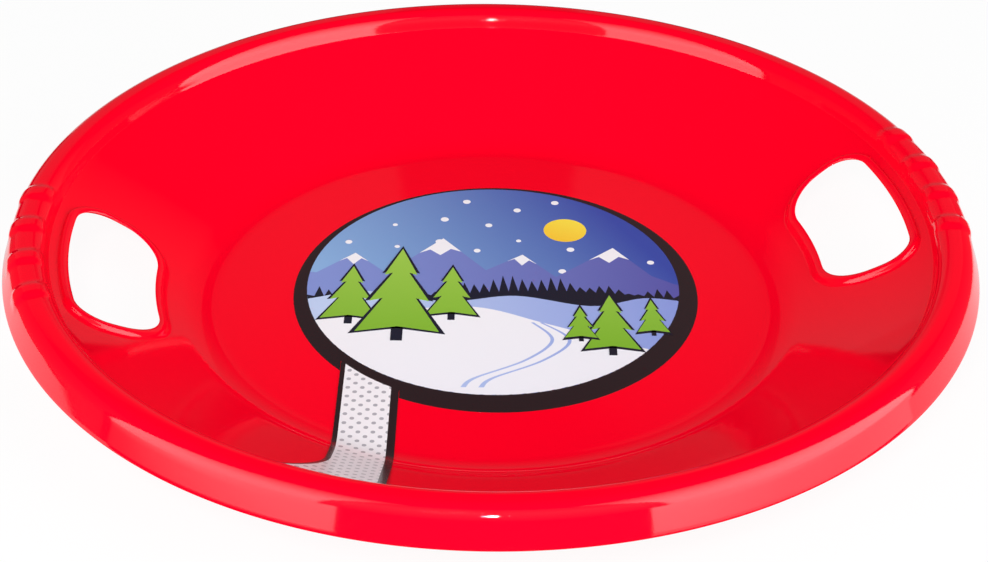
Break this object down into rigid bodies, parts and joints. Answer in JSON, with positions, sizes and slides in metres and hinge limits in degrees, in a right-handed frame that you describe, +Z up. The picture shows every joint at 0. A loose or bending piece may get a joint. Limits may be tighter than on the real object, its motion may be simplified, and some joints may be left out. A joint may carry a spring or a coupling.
{
  "type": "saucer sled",
  "caption": "Round plastic saucer sled: a shallow dish with a rolled rim, beaded hand-holes in opposite walls, finger pads on the rim and a printed film disc on its floor.",
  "frame": {"origin": "on the ground, under the middle of the dish's flat floor", "axes": "+Z up out of the open side of the dish, +X through the middle of one hand-hole"},
  "size_m": [0.5002, 0.5002, 0.0563],
  "materials": {
    "dish_plastic": "glossy moulded polyethylene, bright red, with shallow scuffs",
    "decal_film": "printed self-adhesive film, satin gloss",
    "label_film": "printed self-adhesive film, white with black edges, satin"
  },
  "bodies": {
    "root": {"dish": "dish_plastic", "round_decal": "decal_film", "tail_label": "label_film"}
  },
  "joints": []
}
